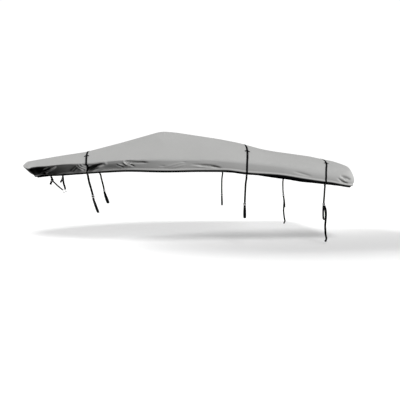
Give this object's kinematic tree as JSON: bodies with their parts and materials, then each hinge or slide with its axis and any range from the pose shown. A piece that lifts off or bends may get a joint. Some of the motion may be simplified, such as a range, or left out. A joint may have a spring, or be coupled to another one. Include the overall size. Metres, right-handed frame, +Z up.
{
  "type": "fitted boat cover",
  "caption": "Fitted cloth cover that drapes over a small V-hull boat, with hem webbing, tie-down straps over its top and strap ends that hang below the hem.",
  "frame": {"origin": "inner face of the cloth at its highest point, on the centreline, where a support pole carries the cover", "axes": "+X runs aft along the boat, +Y to starboard, +Z up"},
  "size_m": [6.5791, 2.4396, 2.1825],
  "materials": {
    "cloth": "matt coated polyester cloth, light grey",
    "webbing": "flat woven polypropylene webbing, black",
    "moulding": "moulded acetal buckle, black",
    "wire": "plastic-dipped steel wire hook, black"
  },
  "bodies": {
    "root": {"canvas": "cloth", "hem_webbing": "webbing", "strap_1": "webbing", "keeper_1_port": "webbing", "fall_1_port": "webbing", "buckle_1_port": "moulding", "loop_1_port": "webbing", "keeper_1_starboard": "webbing", "fall_1_starboard": "webbing", "buckle_1_starboard": "moulding", "loop_1_starboard": "webbing", "strap_2": "webbing", "keeper_2_port": "webbing", "fall_2_port": "webbing", "buckle_2_port": "moulding", "loop_2_port": "webbing", "keeper_2_starboard": "webbing", "fall_2_starboard": "webbing", "buckle_2_starboard": "moulding", "loop_2_starboard": "webbing", "strap_3": "webbing", "keeper_3_port": "webbing", "fall_3_port": "webbing", "buckle_3_port": "moulding", "loop_3_port": "webbing", "tail_3_port": "webbing", "keeper_3_starboard": "webbing", "fall_3_starboard": "webbing", "buckle_3_starboard": "moulding", "loop_3_starboard": "webbing", "tail_3_starboard": "webbing", "bow_fall_port": "webbing", "bow_buckle_port": "moulding", "bow_leg_port": "webbing", "bow_tail_port": "webbing", "bow_hook_port": "wire", "bow_fall_starboard": "webbing", "bow_buckle_starboard": "moulding", "bow_leg_starboard": "webbing", "bow_tail_starboard": "webbing", "bow_hook_starboard": "wire"}
  },
  "joints": []
}
